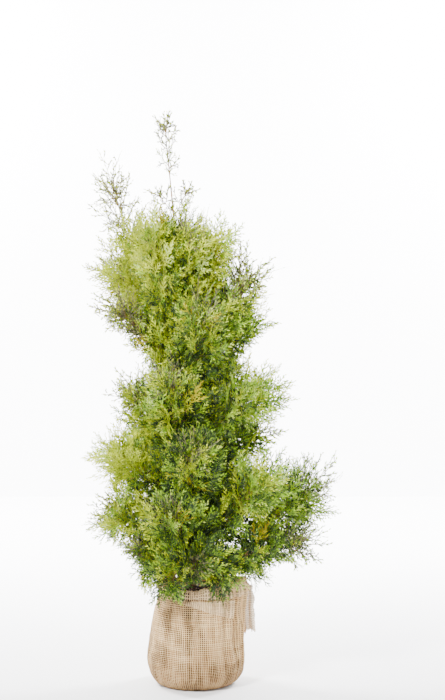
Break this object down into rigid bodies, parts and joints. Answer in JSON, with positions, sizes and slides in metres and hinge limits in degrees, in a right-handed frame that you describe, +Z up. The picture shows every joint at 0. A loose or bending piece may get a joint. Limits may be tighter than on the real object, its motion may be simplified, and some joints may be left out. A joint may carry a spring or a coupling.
{
  "type": "root-balled thuja shrub",
  "caption": "Young upright thuja with feathery sprays and a bare leader, standing on a soil root ball wrapped and knotted in hessian.",
  "frame": {"origin": "centre of the flat underside of the root ball", "axes": "+Z up to the leader, +X to the right as seen from the front, -Y to the front"},
  "size_m": [0.5992, 0.4086, 1.3168],
  "materials": {
    "foliage": "matte",
    "bark": "matte",
    "wrapped_soil": "matte",
    "hessian": "matte",
    "soil": "matte"
  },
  "bodies": {
    "root": {"bough_back_low": "bark", "bough_back_mid": "bark", "bough_front_mid": "bark", "bough_left_crown": "bark", "bough_left_low": "bark", "bough_left_mid": "bark", "bough_left_plume": "bark", "bough_left_shoulder": "bark", "bough_left_waist": "bark", "bough_right_apron": "bark", "bough_right_inner": "bark", "bough_right_low": "bark", "bough_right_mid": "bark", "bough_right_sail": "bark", "bough_right_shoot": "bark", "bough_right_shoulder": "bark", "bough_right_waist": "bark", "foliage_back_crown": "foliage", "foliage_back_foot": "foliage", "foliage_back_low": "foliage", "foliage_back_mid": "foliage", "foliage_back_shoulder": "foliage", "foliage_back_waist": "foliage", "foliage_corner_apron": "foliage", "foliage_front_apron": "foliage", "foliage_front_crown": "foliage", "foliage_front_foot": "foliage", "foliage_front_low": "foliage", "foliage_front_mid": "foliage", "foliage_front_shoulder": "foliage", "foliage_front_top": "foliage", "foliage_front_waist": "foliage", "foliage_leader": "foliage", "foliage_leader_left": "foliage", "foliage_leader_right": "foliage", "foliage_left_apron": "foliage", "foliage_left_crown": "foliage", "foliage_left_foot": "foliage", "foliage_left_low": "foliage", "foliage_left_mid": "foliage", "foliage_left_plume": "foliage", "foliage_left_shoulder": "foliage", "foliage_left_waist": "foliage", "foliage_right_apron": "foliage", "foliage_right_crown": "foliage", "foliage_right_inner": "foliage", "foliage_right_low": "foliage", "foliage_right_mid": "foliage", "foliage_right_sail": "foliage", "foliage_right_shoot": "foliage", "foliage_right_shoulder": "foliage", "foliage_right_waist": "foliage", "hessian_collar": "hessian", "hessian_corner": "hessian", "hessian_knot": "hessian", "hessian_tail": "hessian", "root_ball": "wrapped_soil", "soil_top": "soil", "trunk": "bark"}
  },
  "joints": []
}
